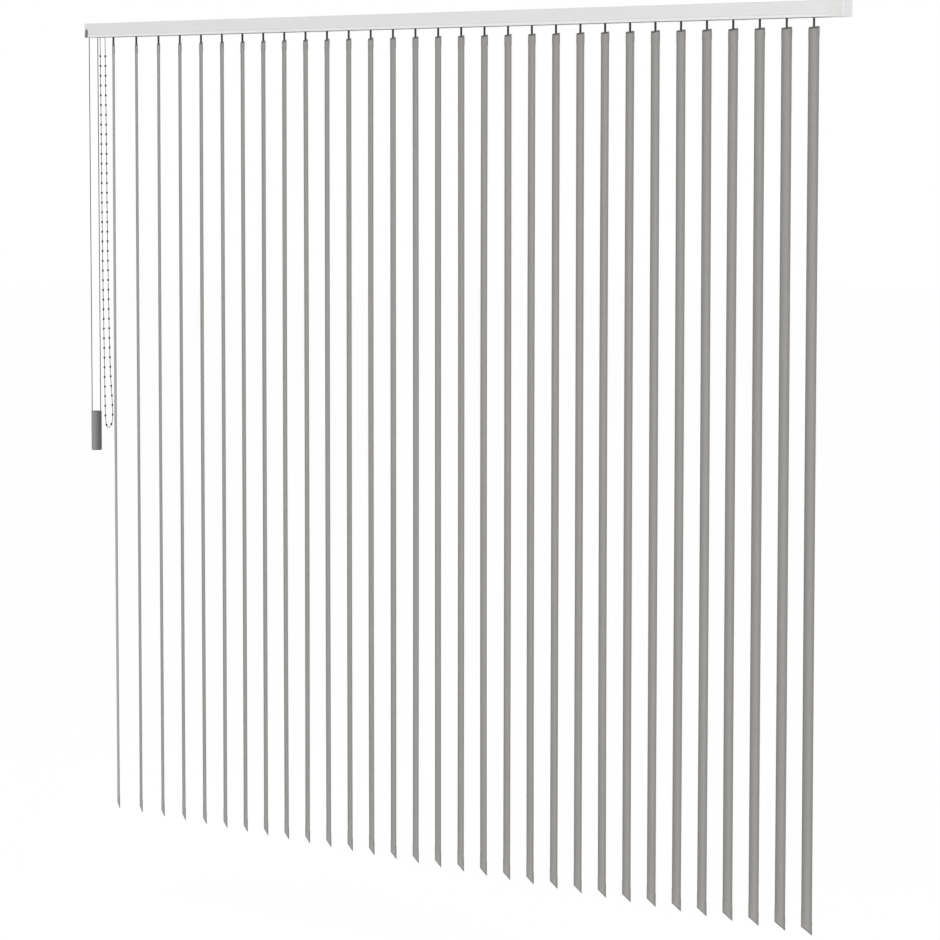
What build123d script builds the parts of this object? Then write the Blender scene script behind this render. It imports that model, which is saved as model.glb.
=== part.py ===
from build123d import *
import math
import os

# Vertical blind hung from the ceiling, in millimetres.
# The origin is on the ceiling plane, at the middle of the rail. +X runs along the rail away
# from the control end, +Y points at the window and +Z up.

# Head rail
RAIL_LENGTH = 2600.0
RAIL_DEPTH = 44.0
RAIL_HEIGHT = 41.5
RAIL_WALL = 1.5
RAIL_SLOT = 24.0
CHANNEL_DEPTH = 6.0
CHANNEL_MOUTH = 34.0
BAND_HEIGHT = 8.2
BAND_STEP = 1.6
BAND_LEAN = 1.4
EDGE_ROUND = 0.8

# Vanes
VANE_COUNT = 31
VANE_WIDTH = 89.0
VANE_LENGTH = 2273.0
VANE_DROP = 63.6
VANE_THICKNESS = 0.6
VANE_ANGLE = 41.2
END_SPACE = 96.7
WIDE_GAPS = (93.1, 89.3, 84.8, 83.1, 81.3)
HEM_HEIGHT = 36.0
HEM_THICKNESS = 2.4
POCKET_HEIGHT = 24.0
POCKET_THICKNESS = 2.0
HANGER_SHOWN = 5.0
HANGER_THICKNESS = 1.4
HANGER_INSET = 0.6
HANGER_LAP = 22.0
HANGER_CORNER = 2.0

# Stem of a vane, with its worm gear head
STEM_DIAMETER = 6.0
GEAR_DIAMETER = 7.2
GEAR_HEIGHT = 16.0
GEAR_TEETH = 12
SHOULDER_DROP = 32.0
HOOK_WIDTH = 9.0
HOOK_THICKNESS = 4.6
HOOK_HEIGHT = 17.0
HOOK_LAP = 9.0

# Carriers
CARRIER_LENGTH = 14.0
CARRIER_WIDTH = 23.0
CARRIER_TOP = 13.0
CARRIER_NOSE = 0.7
CARRIER_NOSE_TAPER = 3.0
CLAMP_LIP = 1.0
GLIDE_LENGTH = 9.0
GLIDE_HEIGHT = 6.0
GLIDE_REACH = 4.2
GLIDE_CORNER = 1.5
SPACER_HEIGHT = 7.0
SPACER_THICKNESS = 0.8
SPACER_DROP = 28.0
SPACER_Y = -6.5
SPACER_LAP = 1.5

# Tilt rod and its worms
ROD_DIAMETER = 5.0
ROD_Y = 7.0
ROD_DROP = 24.5
ROD_GROOVES = 3
ROD_GROOVE_WIDTH = 1.2
ROD_GROOVE_DEPTH = 0.6
WORM_DIAMETER = 6.4
WORM_LENGTH = 8.0
WORM_SIDES = 12

# Clearances
RUN_CLEAR = 0.08
FIT_CLEAR = 0.02
SEAT_CLEAR = 0.2
CORD_CLEAR = 0.3
CUT_PAST = 1.0

# Draw cord and the places where it leaves the rail
CORD_DIAMETER = 2.5
CORD_Y = 9.0
CORD_DROP = 9.6
FRONT_EXIT = 5.8
BACK_EXIT = 23.2
TURN_RADIUS = 6.0
PULLEY_WIDTH = 5.0
PULLEY_AXLE = 3.0
PULLEY_RIM = 1.25
PULLEY_LIP = 0.5
GROOVE_FLOOR = 2.0
AXLE_SEAT = 2.6

# Cord weight
WEIGHT_DIAMETER = 30.6
WEIGHT_HEIGHT = 116.7
WEIGHT_DROP = 1153.0
WEIGHT_SWAY = 1.2
WEIGHT_EDGE = 0.8
WEIGHT_AXLE = 4.0
WEIGHT_AXLE_DEPTH = 15.5
WEIGHT_WALL = 1.0

# Bead chain and its wheel
CHAIN_PLACE = 45.0
CHAIN_RADIUS = 10.4
STRING_DIAMETER = 1.8
STRING_JOINT = 0.1
BEAD_DIAMETER = 5.6
BEAD_HEIGHT = 6.2
BEAD_BARREL = 2.2
BEAD_SIDES = 8
BEAD_PITCH = 28.8
FIRST_BEAD_DROP = 96.9
FOOT_SHARE = 0.45
WHEEL_RIM = 2.0
WHEEL_LIP = 0.8
CHAIN_WHEEL_WIDTH = 8.0
CHAIN_WHEEL_HUB = 9.4
HUB_DIAMETER = 11.0
GRIP_COUNT = 8
GRIP_SIZE = 1.6

# Control unit
END_PLATE = 2.0
CONTROL_LENGTH = 88.0
GUIDE_END = 20.4
GUIDE_DEPTH = 17.3
NOTCH_WIDTH = 11.6
NOTCH_HEIGHT = 24.0
NOTCH_ROUND = 5.0
NOTCH_GAP = 0.3
NOSE_SET_BACK = 0.8
PULLEY_SLOT_GAP = 0.3
EXIT_DIAMETER = 4.4
CORD_CHANNEL = 4.0

# End cap, with the return pulley and the rod's bush
CAP_LENGTH = 38.0
CAP_WALL = 2.0
CAP_PROUD = 0.4
CAP_ROUND = 2.5
TAB_LENGTH = 20.0
TAB_ROOT = 4.0
TAB_HEIGHT = 28.0
TAB_DROP = 11.0
RETURN_AXLE = 4.0
RETURN_PLACE = 18.0
SHELF_THICKNESS = 2.0
WALL_BITE = 0.5
BUSH_DIAMETER = 8.0
BUSH_FLANGE = 10.4
BUSH_FLANGE_THICKNESS = 1.0
BUSH_WEB = 3.0
BUSH_WEB_INSET = 4.0

# Ceiling clips
CLIP_END = 200.0
CLIP_SPACING = 730.0
CLIP_LENGTH = 28.0
CLIP_SHEET = 1.2
CLIP_HALF_TOP = 13.5
CLIP_FOOT = 19.0
SCREW_HOLE = 4.5

# Places that follow from the sizes above
LEFT = -RAIL_LENGTH / 2
RIGHT = RAIL_LENGTH / 2
HALF_DEPTH = RAIL_DEPTH / 2
INNER_HALF = HALF_DEPTH - RAIL_WALL
WEB_UNDER = CHANNEL_DEPTH + RAIL_WALL
FLANGE_TOP = RAIL_HEIGHT - RAIL_WALL
RAIL_START = LEFT + END_PLATE
RAIL_END = RIGHT - CAP_LENGTH
FIRST_VANE = LEFT + END_SPACE
EVEN_GAPS = VANE_COUNT - 1 - len(WIDE_GAPS)
VANE_PITCH = (RAIL_LENGTH - 2 * END_SPACE - sum(WIDE_GAPS)) / EVEN_GAPS
CORD_R = CORD_DIAMETER / 2
ROD_R = ROD_DIAMETER / 2
FRONT_PULLEY_X = LEFT + FRONT_EXIT + TURN_RADIUS
BACK_PULLEY_X = LEFT + BACK_EXIT + TURN_RADIUS
PULLEY_Z = -CORD_DROP - TURN_RADIUS
CHAIN_X = LEFT + CHAIN_PLACE
RETURN_X = RIGHT - RETURN_PLACE
SHELF_TOP = -CORD_DROP - PULLEY_WIDTH / 2 - SEAT_CLEAR
OUTER_CLIP = RAIL_LENGTH / 2 - CLIP_END
INNER_CLIP = OUTER_CLIP - CLIP_SPACING
CLIP_PLACES = (-OUTER_CLIP, -INNER_CLIP, INNER_CLIP, OUTER_CLIP)

# Cheeks beside a turning pulley, and the reach of its axle either side
CHEEK = PULLEY_WIDTH / 2 + PULLEY_SLOT_GAP
AXLE_REACH = CHEEK + AXLE_SEAT

# The weight pulley spans the two strands, which come down diagonally to each other.
STRAND_X = BACK_EXIT - FRONT_EXIT
STRAND_Y = 2 * CORD_Y
WEIGHT_RADIUS = math.hypot(STRAND_X, STRAND_Y) / 2
STRAND_ANGLE = math.degrees(math.atan2(STRAND_Y, STRAND_X))
WEIGHT_X = LEFT + (FRONT_EXIT + BACK_EXIT) / 2 + WEIGHT_SWAY
WEIGHT_PULLEY_Z = -WEIGHT_DROP - WEIGHT_AXLE_DEPTH


def vane_places():
    """The stem axes along the rail: wider gaps next to the control, even ones after them."""
    places = [FIRST_VANE]
    for gap in WIDE_GAPS:
        places.append(places[-1] + gap)
    for _ in range(EVEN_GAPS):
        places.append(places[-1] + VANE_PITCH)
    return places


VANE_X = vane_places()


def block(x, y, z):
    """A box between two limits on each axis."""
    middle = Pos((x[0] + x[1]) / 2, (y[0] + y[1]) / 2, (z[0] + z[1]) / 2)
    return middle * Box(x[1] - x[0], y[1] - y[0], z[1] - z[0])


def bar(start, end, radius):
    """A round bar or bore from one point to another."""
    axis = Vector(*end) - Vector(*start)
    return extrude(Plane(origin=start, z_dir=axis) * Circle(radius), amount=axis.length)


def rail_outline():
    """The rail's outer section: flat faces, and a raised band along each lower edge."""
    band_top = -(RAIL_HEIGHT - BAND_HEIGHT)
    right = [
        (HALF_DEPTH, 0),
        (HALF_DEPTH, band_top),
        (HALF_DEPTH + BAND_STEP, band_top - BAND_STEP / 2),
        (HALF_DEPTH + BAND_STEP - BAND_LEAN, -RAIL_HEIGHT),
    ]
    left = [(-y, z) for y, z in reversed(right)]
    outline = make_face(Polyline(*right, *left, close=True))
    return fillet(outline.vertices().group_by(Axis.Y)[-1], EDGE_ROUND)


def rail_section():
    """The extrusion: a channel for the clips on top, and a slotted track for the carriers."""
    track = Pos(0, -(WEB_UNDER + FLANGE_TOP) / 2) * Rectangle(2 * INNER_HALF, FLANGE_TOP - WEB_UNDER)
    slot = Pos(0, -(FLANGE_TOP + RAIL_HEIGHT) / 2) * Rectangle(RAIL_SLOT, RAIL_WALL)
    channel_height = CHANNEL_DEPTH - RAIL_WALL
    channel = Pos(0, -RAIL_WALL - channel_height / 2) * Rectangle(2 * INNER_HALF, channel_height)
    mouth = Pos(0, -RAIL_WALL / 2) * Rectangle(CHANNEL_MOUTH, RAIL_WALL)
    return rail_outline() - track - slot - channel - mouth


def notch(gap, front):
    """The rounded corner cut from the rail's front, low at the control end, less a gap all round."""
    x = (RAIL_START - gap, LEFT + END_PLATE + NOTCH_WIDTH - gap)
    z = (-RAIL_HEIGHT - CUT_PAST + gap, -RAIL_HEIGHT + NOTCH_HEIGHT - gap)
    body = block(x, (front, -RAIL_SLOT / 2), z)
    corner = body.edges().filter_by(Axis.Y).sort_by(Axis.X)[-2:].sort_by(Axis.Z)[-1]
    return fillet(corner, NOTCH_ROUND)


def head_rail():
    rail = extrude(Plane.YZ.offset(RAIL_START) * rail_section(), amount=RAIL_END - RAIL_START)
    bay = CHAIN_WHEEL_HUB / 2 + SEAT_CLEAR
    chain_way = block(
        (CHAIN_X - bay, CHAIN_X + bay),
        (RAIL_SLOT / 2 - CUT_PAST, INNER_HALF),
        (-RAIL_HEIGHT - CUT_PAST, -FLANGE_TOP + CUT_PAST),
    )
    return rail - notch(0, -HALF_DEPTH - BAND_STEP - CUT_PAST) - chain_way


def hanger_plate():
    """The plastic plate in the top of a vane, whose upper edge stands out of the fabric."""
    half = VANE_WIDTH / 2 - HANGER_INSET
    thick = HANGER_THICKNESS / 2
    plate = block((-half, half), (-thick, thick), (-VANE_DROP - HANGER_SHOWN - HANGER_LAP, -VANE_DROP))
    return chamfer(plate.edges().filter_by(Axis.Y).group_by(Axis.Z)[-1], HANGER_CORNER)


def vane():
    """One vane about its stem axis, flat along X: fabric, hem weight, hanger and stem."""
    bottom = -VANE_DROP - VANE_LENGTH
    cloth_top = -VANE_DROP - HANGER_SHOWN
    half = VANE_WIDTH / 2
    cloth = block((-half, half), (-VANE_THICKNESS / 2, VANE_THICKNESS / 2), (bottom, cloth_top))
    hem = block((-half, half), (-HEM_THICKNESS / 2, HEM_THICKNESS / 2), (bottom, bottom + HEM_HEIGHT))
    pocket_half = POCKET_THICKNESS / 2
    pocket = block((-half, half), (-pocket_half, pocket_half), (cloth_top - POCKET_HEIGHT, cloth_top))
    hook_bottom = -VANE_DROP - HOOK_LAP
    hook_top = hook_bottom + HOOK_HEIGHT
    hook_half = HOOK_THICKNESS / 2
    hook = block((-HOOK_WIDTH / 2, HOOK_WIDTH / 2), (-hook_half, hook_half), (hook_bottom, hook_top))
    hook = chamfer(hook.edges().filter_by(Axis.Y).group_by(Axis.Z)[-1], HOOK_WIDTH / 4)
    stem = bar((0, 0, hook_bottom + HOOK_HEIGHT / 2), (0, 0, -SHOULDER_DROP), STEM_DIAMETER / 2)
    teeth = Pos(0, 0, -SHOULDER_DROP) * RegularPolygon(GEAR_DIAMETER / 2, GEAR_TEETH)
    gear = extrude(teeth, amount=GEAR_HEIGHT)
    return cloth.fuse(hem, pocket, hanger_plate(), hook, stem, gear)


def carrier():
    """One carrier about its stem axis: housing with a glide on each side, open for stem, rod and worm."""
    half = CARRIER_LENGTH / 2
    side = CARRIER_WIDTH / 2
    nose = RAIL_HEIGHT - CARRIER_NOSE
    housing = block((-half, half), (-side, side), (-nose, -CARRIER_TOP))
    housing = chamfer(housing.edges().filter_by(Axis.Y).group_by(Axis.Z)[0], CARRIER_NOSE_TAPER)
    sole = -FLANGE_TOP + SEAT_CLEAR
    reach = side + GLIDE_REACH
    glides = block((-GLIDE_LENGTH / 2, GLIDE_LENGTH / 2), (-reach, reach), (sole, sole + GLIDE_HEIGHT))
    glides = chamfer(glides.edges().filter_by(Axis.Y), GLIDE_CORNER)
    pocket = GEAR_DIAMETER / 2 + SEAT_CLEAR / 2
    gear_way = block((-pocket, pocket), (-pocket, pocket), (-SHOULDER_DROP, 0))
    stem_bore = bar((0, 0, -RAIL_HEIGHT), (0, 0, -SHOULDER_DROP), STEM_DIAMETER / 2 + RUN_CLEAR)
    rod = ROD_R + RUN_CLEAR
    rod_way = block((-RAIL_DEPTH, RAIL_DEPTH), (ROD_Y - rod, ROD_Y + rod), (-ROD_DROP - rod, -ROD_DROP + rod))
    worm = WORM_DIAMETER / 2 + SEAT_CLEAR
    worm_end = WORM_LENGTH / 2 + SEAT_CLEAR
    worm_way = block(
        (-worm_end, worm_end), (ROD_Y - worm, ROD_Y + worm), (-ROD_DROP - worm, -ROD_DROP + worm)
    )
    return housing.fuse(glides) - gear_way - stem_bore - rod_way - worm_way


def spacer(start, end):
    """The flat strip that links two neighbouring carriers, let into both of them."""
    return block(
        (start, end),
        (SPACER_Y - SPACER_THICKNESS / 2, SPACER_Y + SPACER_THICKNESS / 2),
        (-SPACER_DROP - SPACER_HEIGHT, -SPACER_DROP),
    )


def carrier_row():
    """Every carrier after the lead carrier, linked by its spacer to the one before it."""
    half = CARRIER_LENGTH / 2
    plain = carrier()
    pieces = []
    for before, here in zip(VANE_X, VANE_X[1:]):
        lap = SPACER_LAP if before > FIRST_VANE else 0
        pieces.append(Pos(here, 0, 0) * plain)
        pieces.append(spacer(before + half - lap, here - half + SPACER_LAP))
    return pieces[0].fuse(*pieces[1:])


def lead_carrier():
    """The first carrier, with the post that clamps both ends of the draw cord."""
    half = CARRIER_LENGTH / 2
    reach = CORD_R + FIT_CLEAR
    top = -CORD_DROP + reach
    post = block(
        (-half, half), (-CARRIER_WIDTH / 2, -CORD_Y + reach + CLAMP_LIP), (-CARRIER_TOP - CUT_PAST, top)
    )
    return Pos(FIRST_VANE, 0, 0) * carrier().fuse(post)


def tilt_rod():
    """Round rod with straight grooves that the worms slide along."""
    section = Circle(ROD_R)
    groove = Pos(0, ROD_R) * Rectangle(ROD_GROOVE_WIDTH, 2 * ROD_GROOVE_DEPTH)
    for turn in range(ROD_GROOVES):
        section -= Rot(0, 0, turn * 360 / ROD_GROOVES) * groove
    start = CHAIN_X - CHAIN_WHEEL_HUB / 2 - ROD_DIAMETER / 2
    end = RAIL_END + BUSH_WEB_INSET + BUSH_WEB
    plane = Plane(origin=(start, ROD_Y, -ROD_DROP), x_dir=(0, 1, 0), z_dir=(1, 0, 0))
    return extrude(plane * section, amount=end - start)


def worms():
    """One worm for each carrier, on the rod."""
    outline = RegularPolygon(WORM_DIAMETER / 2, WORM_SIDES)
    outline -= RegularPolygon(ROD_R + FIT_CLEAR, WORM_SIDES, major_radius=False)
    worm = extrude(Plane.YZ * outline, amount=WORM_LENGTH / 2, both=True)
    return Compound([Pos(x, ROD_Y, -ROD_DROP) * worm for x in VANE_X])


def chain_wheel():
    """Wheel whose flared groove takes the string and its beads, with grips in the groove's floor."""
    floor = CHAIN_RADIUS - STRING_DIAMETER / 2 - CORD_CLEAR
    rim = CHAIN_RADIUS + WHEEL_RIM
    half = CHAIN_WHEEL_WIDTH / 2
    lip = half - WHEEL_LIP
    hub = CHAIN_WHEEL_HUB / 2
    bore = ROD_R + FIT_CLEAR
    right = [(hub, bore), (hub, HUB_DIAMETER / 2), (half, HUB_DIAMETER / 2), (half, rim), (lip, rim)]
    right.append((STRING_DIAMETER, floor))
    left = [(-x, r) for x, r in reversed(right)]
    wheel = revolve(make_face(Polyline(*right, *left, close=True)), Axis.X)
    grip_half = GRIP_SIZE / 2
    grip = block(
        (-STRING_DIAMETER, STRING_DIAMETER), (-grip_half, grip_half), (floor - grip_half, floor + grip_half)
    )
    wheel -= [Rot(turn * 360 / GRIP_COUNT, 0, 0) * grip for turn in range(GRIP_COUNT)]
    return Pos(CHAIN_X, ROD_Y, -ROD_DROP) * wheel


def grooved_pulley(radius, axle):
    """A pulley about the Z axis whose groove holds the cord's centreline at that radius."""
    bore = axle / 2 + RUN_CLEAR
    rim = radius + PULLEY_RIM
    floor = radius - CORD_R - CORD_CLEAR
    half = PULLEY_WIDTH / 2
    upper = [(bore, half), (rim, half), (rim, half - PULLEY_LIP), (floor, GROOVE_FLOOR / 2)]
    lower = [(r, -z) for r, z in reversed(upper)]
    return revolve(Plane.XZ * make_face(Polyline(*upper, *lower, close=True)), Axis.Z)


def front_pulley():
    return Pos(FRONT_PULLEY_X, -CORD_Y, PULLEY_Z) * Rot(90, 0, 0) * grooved_pulley(TURN_RADIUS, PULLEY_AXLE)


def back_pulley():
    return Pos(BACK_PULLEY_X, CORD_Y, PULLEY_Z) * Rot(90, 0, 0) * grooved_pulley(TURN_RADIUS, PULLEY_AXLE)


def return_pulley():
    return Pos(RETURN_X, 0, -CORD_DROP) * grooved_pulley(CORD_Y, RETURN_AXLE)


def weight_pulley():
    place = Pos(WEIGHT_X, 0, WEIGHT_PULLEY_Z) * Rot(0, 0, STRAND_ANGLE) * Rot(90, 0, 0)
    return place * grooved_pulley(WEIGHT_RADIUS, WEIGHT_AXLE)


def turning_axle(x, y):
    """The pin of a turning pulley, held in the moulding on both sides of it."""
    return bar((x, y - AXLE_REACH, PULLEY_Z), (x, y + AXLE_REACH, PULLEY_Z), PULLEY_AXLE / 2)


def pulley_slot(x, y):
    """The open-topped slot round a turning pulley, its axle hole and the cord's way down."""
    reach = TURN_RADIUS + PULLEY_RIM + PULLEY_SLOT_GAP
    slot = block((x - reach, x + reach), (y - CHEEK, y + CHEEK), (PULLEY_Z - reach, 0))
    axle = bar((x, y - AXLE_REACH, PULLEY_Z), (x, y + AXLE_REACH, PULLEY_Z), PULLEY_AXLE / 2 + FIT_CLEAR)
    exit_x = x - TURN_RADIUS
    way = bar((exit_x, y, -RAIL_HEIGHT - CUT_PAST), (exit_x, y, PULLEY_Z), EXIT_DIAMETER / 2)
    return slot.fuse(axle, way)


def in_rail_block(x, y, gap):
    """A block that fills the rail's track, with a sole that fills the slot flush with its underside."""
    track = block(x, y, (-FLANGE_TOP + gap, -WEB_UNDER - gap))
    slot_half = RAIL_SLOT / 2 - gap
    sole = block(x, (max(y[0], -slot_half), min(y[1], slot_half)), (-RAIL_HEIGHT, -FLANGE_TOP + 2 * gap))
    return track.fuse(sole)


def cord_guide():
    """Dark moulding round the front pulley, whose nose shows in the rail's notch."""
    inner = -INNER_HALF + SEAT_CLEAR
    along = (RAIL_START + SEAT_CLEAR, LEFT + GUIDE_END)
    body = in_rail_block(along, (inner, inner + GUIDE_DEPTH), SEAT_CLEAR)
    nose = notch(NOTCH_GAP, -HALF_DEPTH + NOSE_SET_BACK)
    nose = nose & block(along, (-RAIL_DEPTH, 0), (-RAIL_HEIGHT, 0))
    cord_way = block(
        (FRONT_PULLEY_X, LEFT + GUIDE_END + CUT_PAST),
        (-CORD_Y - CHEEK, -CORD_Y + CHEEK),
        (-CORD_DROP - CORD_CHANNEL, 0),
    )
    return body.fuse(nose) - pulley_slot(FRONT_PULLEY_X, -CORD_Y) - cord_way


def control_housing():
    """Moulded unit in the rail's end: end plate, bay for the chain wheel, and the rod's bearing."""
    plate = extrude(Plane.YZ.offset(LEFT) * rail_outline(), amount=END_PLATE)
    side = INNER_HALF - SEAT_CLEAR
    body = in_rail_block((LEFT + END_PLATE / 2, LEFT + CONTROL_LENGTH), (-side, side), SEAT_CLEAR)
    guide_room = block(
        (RAIL_START, LEFT + GUIDE_END + SEAT_CLEAR),
        (-RAIL_DEPTH, -side + GUIDE_DEPTH + SEAT_CLEAR),
        (-RAIL_HEIGHT - CUT_PAST, 0),
    )
    bay_half = CHAIN_WHEEL_HUB / 2 + SEAT_CLEAR
    bay_front = ROD_Y - CHAIN_RADIUS - WHEEL_RIM - PULLEY_SLOT_GAP
    bay = block(
        (CHAIN_X - bay_half, CHAIN_X + bay_half), (bay_front, RAIL_DEPTH), (-RAIL_HEIGHT - CUT_PAST, 0)
    )
    strand_half = CORD_CHANNEL / 2
    inner_end = LEFT + CONTROL_LENGTH + CUT_PAST
    ways = [
        block(
            (LEFT + GUIDE_END, inner_end),
            (y - strand_half, y + strand_half),
            (-CORD_DROP - strand_half, 0),
        )
        for y in (-CORD_Y, CORD_Y)
    ]
    rod_start = CHAIN_X - bay_half - ROD_R
    rod_way = bar((rod_start, ROD_Y, -ROD_DROP), (inner_end, ROD_Y, -ROD_DROP), ROD_R + RUN_CLEAR)
    housing = body - guide_room
    housing = housing - bay - pulley_slot(BACK_PULLEY_X, CORD_Y) - ways - rod_way
    return plate.fuse(housing)


def end_cap():
    """Hollow cap with tabs into the rail, a shelf for the return pulley and a web for the rod's bush."""
    half = HALF_DEPTH + CAP_PROUD
    outer = block((RAIL_END, RIGHT), (-half, half), (-RAIL_HEIGHT, 0))
    outer = fillet(outer.edges().filter_by(Axis.Z).group_by(Axis.X)[-1], CAP_ROUND)
    room_end = RIGHT - CAP_WALL
    room_half = half - CAP_WALL
    room_floor = -RAIL_HEIGHT + CAP_WALL
    room = block((RAIL_END - CUT_PAST, room_end), (-room_half, room_half), (room_floor, -CAP_WALL))
    bite_half = room_half + WALL_BITE
    shelf = block(
        (RAIL_END, room_end + WALL_BITE), (-bite_half, bite_half), (SHELF_TOP - SHELF_THICKNESS, SHELF_TOP)
    )
    web_x = RAIL_END + BUSH_WEB_INSET
    web = block(
        (web_x, web_x + BUSH_WEB), (-bite_half, bite_half), (room_floor - WALL_BITE, SHELF_TOP - WALL_BITE)
    )
    cap = (outer - room).fuse(shelf, web)
    tab_out = INNER_HALF - SEAT_CLEAR
    for side in (-1, 1):
        edges = sorted((side * tab_out, side * (tab_out - CAP_WALL)))
        tab = block((RAIL_END - TAB_LENGTH, RAIL_END + TAB_ROOT), edges, (-TAB_DROP - TAB_HEIGHT, -TAB_DROP))
        cap = cap.fuse(tab)
    axle_foot = SHELF_TOP - SHELF_THICKNESS - CUT_PAST
    axle_hole = bar(
        (RETURN_X, 0, axle_foot), (RETURN_X, 0, -CAP_WALL / 2), RETURN_AXLE / 2 + FIT_CLEAR
    )
    bush_hole = bar(
        (web_x - CUT_PAST, ROD_Y, -ROD_DROP),
        (web_x + BUSH_WEB + CUT_PAST, ROD_Y, -ROD_DROP),
        BUSH_DIAMETER / 2 + FIT_CLEAR,
    )
    return cap - axle_hole - bush_hole


def return_axle():
    foot = SHELF_TOP - SHELF_THICKNESS
    return bar((RETURN_X, 0, foot), (RETURN_X, 0, -CAP_WALL / 2 - FIT_CLEAR), RETURN_AXLE / 2)


def rod_bush():
    """Flanged bush that the rod turns in, pressed into the end cap's web."""
    web_x = RAIL_END + BUSH_WEB_INSET
    flange_x = web_x - BUSH_FLANGE_THICKNESS
    end_x = web_x + BUSH_WEB + BUSH_FLANGE_THICKNESS
    sleeve = bar((web_x, ROD_Y, -ROD_DROP), (end_x, ROD_Y, -ROD_DROP), BUSH_DIAMETER / 2)
    flange = bar((flange_x, ROD_Y, -ROD_DROP), (web_x, ROD_Y, -ROD_DROP), BUSH_FLANGE / 2)
    bore = bar(
        (flange_x - CUT_PAST, ROD_Y, -ROD_DROP), (end_x + CUT_PAST, ROD_Y, -ROD_DROP), ROD_R + RUN_CLEAR
    )
    return sleeve.fuse(flange) - bore


def cord_weight():
    """Turned cylinder with a slot across its top for the pulley that hangs in the cord's loop."""
    weight = extrude(Circle(WEIGHT_DIAMETER / 2), amount=-WEIGHT_HEIGHT)
    weight = chamfer(weight.edges().filter_by(GeomType.CIRCLE), WEIGHT_EDGE)
    slot_length = WEIGHT_DIAMETER - 2 * WEIGHT_WALL
    slot_depth = WEIGHT_AXLE_DEPTH + WEIGHT_RADIUS + PULLEY_RIM + PULLEY_SLOT_GAP
    slot = block((-slot_length / 2, slot_length / 2), (-CHEEK, CHEEK), (-slot_depth, CUT_PAST))
    reach = WEIGHT_DIAMETER / 2 - WEIGHT_WALL
    axle_z = -WEIGHT_AXLE_DEPTH
    axle = bar((0, -reach, axle_z), (0, WEIGHT_DIAMETER, axle_z), WEIGHT_AXLE / 2 + FIT_CLEAR)
    return Pos(WEIGHT_X, 0, -WEIGHT_DROP) * Rot(0, 0, STRAND_ANGLE) * (weight - slot - axle)


def weight_axle():
    reach = WEIGHT_DIAMETER / 2 - WEIGHT_WALL
    axle = bar((0, -reach, 0), (0, reach, 0), WEIGHT_AXLE / 2)
    return Pos(WEIGHT_X, 0, WEIGHT_PULLEY_Z) * Rot(0, 0, STRAND_ANGLE) * axle


def draw_cord():
    """The loop: clamp, return pulley, back pulley, weight pulley, front pulley, clamp."""
    z = -CORD_DROP
    low = WEIGHT_PULLEY_Z - WEIGHT_RADIUS
    route = [
        (FIRST_VANE + CARRIER_LENGTH / 2, -CORD_Y, z),
        (RETURN_X + CORD_Y, -CORD_Y, z),
        (RETURN_X + CORD_Y, CORD_Y, z),
        (LEFT + BACK_EXIT, CORD_Y, z),
        (LEFT + BACK_EXIT + WEIGHT_SWAY, CORD_Y, low),
        (LEFT + FRONT_EXIT + WEIGHT_SWAY, -CORD_Y, low),
        (LEFT + FRONT_EXIT, -CORD_Y, z),
        (FIRST_VANE - CARRIER_LENGTH / 2, -CORD_Y, z),
    ]
    radii = [CORD_Y, CORD_Y, TURN_RADIUS, WEIGHT_RADIUS, WEIGHT_RADIUS, TURN_RADIUS]
    return tube("draw_cord", route, [radius - FIT_CLEAR for radius in radii], CORD_DIAMETER)


# The chain hangs beside the first vane's swing, leans a little to the window and opens out at its foot.
# Each point is (along the rail from its end, front run and back run across from the rod, drop).
CHAIN_FOOT = [
    (47.5, -10.6, 10.6, 330.0),
    (48.4, -10.6, 11.2, 650.0),
    (48.4, -4.9, 17.7, 1020.0),
    (48.4, -3.3, 27.5, 1130.0),
    (48.4, -2.4, 29.2, 1177.0),
    (48.4, 3.6, 19.6, 1202.0),
]


def chain_route():
    """The string's points: off the wheel's top, down the front, round the foot and up the back."""
    top = CHAIN_RADIUS - ROD_DROP
    over = [(CHAIN_X, ROD_Y + side * CHAIN_RADIUS, top) for side in (-1, 1)]
    down = [(LEFT + x, ROD_Y + front, -drop) for x, front, back, drop in CHAIN_FOOT]
    up = [(LEFT + x, ROD_Y + back, -drop) for x, front, back, drop in reversed(CHAIN_FOOT)]
    ends = [(CHAIN_X, ROD_Y + side * STRING_JOINT / 2, top) for side in (-1, 1)]
    return [ends[0], over[0], *down, *up, over[1], ends[1]]


def chain_radii():
    """The wheel's radius at both ends, and elsewhere the widest arc that a corner's two runs allow."""
    route = chain_route()
    radii = []
    for before, here, after in zip(route, route[1:], route[2:]):
        into = Vector(*here) - Vector(*before)
        out = Vector(*after) - Vector(*here)
        half_turn = math.radians(into.get_angle(out) / 2)
        radii.append(FOOT_SHARE * min(into.length, out.length) / math.tan(half_turn))
    radii[0] = radii[-1] = CHAIN_RADIUS - STRING_JOINT
    return radii


def bead_chain():
    """The string, a closed loop over the chain wheel."""
    return tube("bead_chain", chain_route(), chain_radii(), STRING_DIAMETER)


def bead():
    """A moulded bead: a short barrel with tapered ends, open for the string."""
    high = BEAD_HEIGHT / 2
    barrel = BEAD_BARREL / 2
    middle = RegularPolygon(BEAD_DIAMETER / 2, BEAD_SIDES)
    end = RegularPolygon(STRING_DIAMETER / 2 + 2 * CORD_CLEAR, BEAD_SIDES)
    solid = extrude(middle, amount=barrel, both=True)
    for side in (-1, 1):
        solid = solid.fuse(loft([Pos(0, 0, side * barrel) * middle, Pos(0, 0, side * high) * end]))
    hole = RegularPolygon(STRING_DIAMETER / 2 + CORD_CLEAR, BEAD_SIDES, major_radius=False)
    return solid - extrude(hole, amount=BEAD_HEIGHT, both=True)


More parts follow.
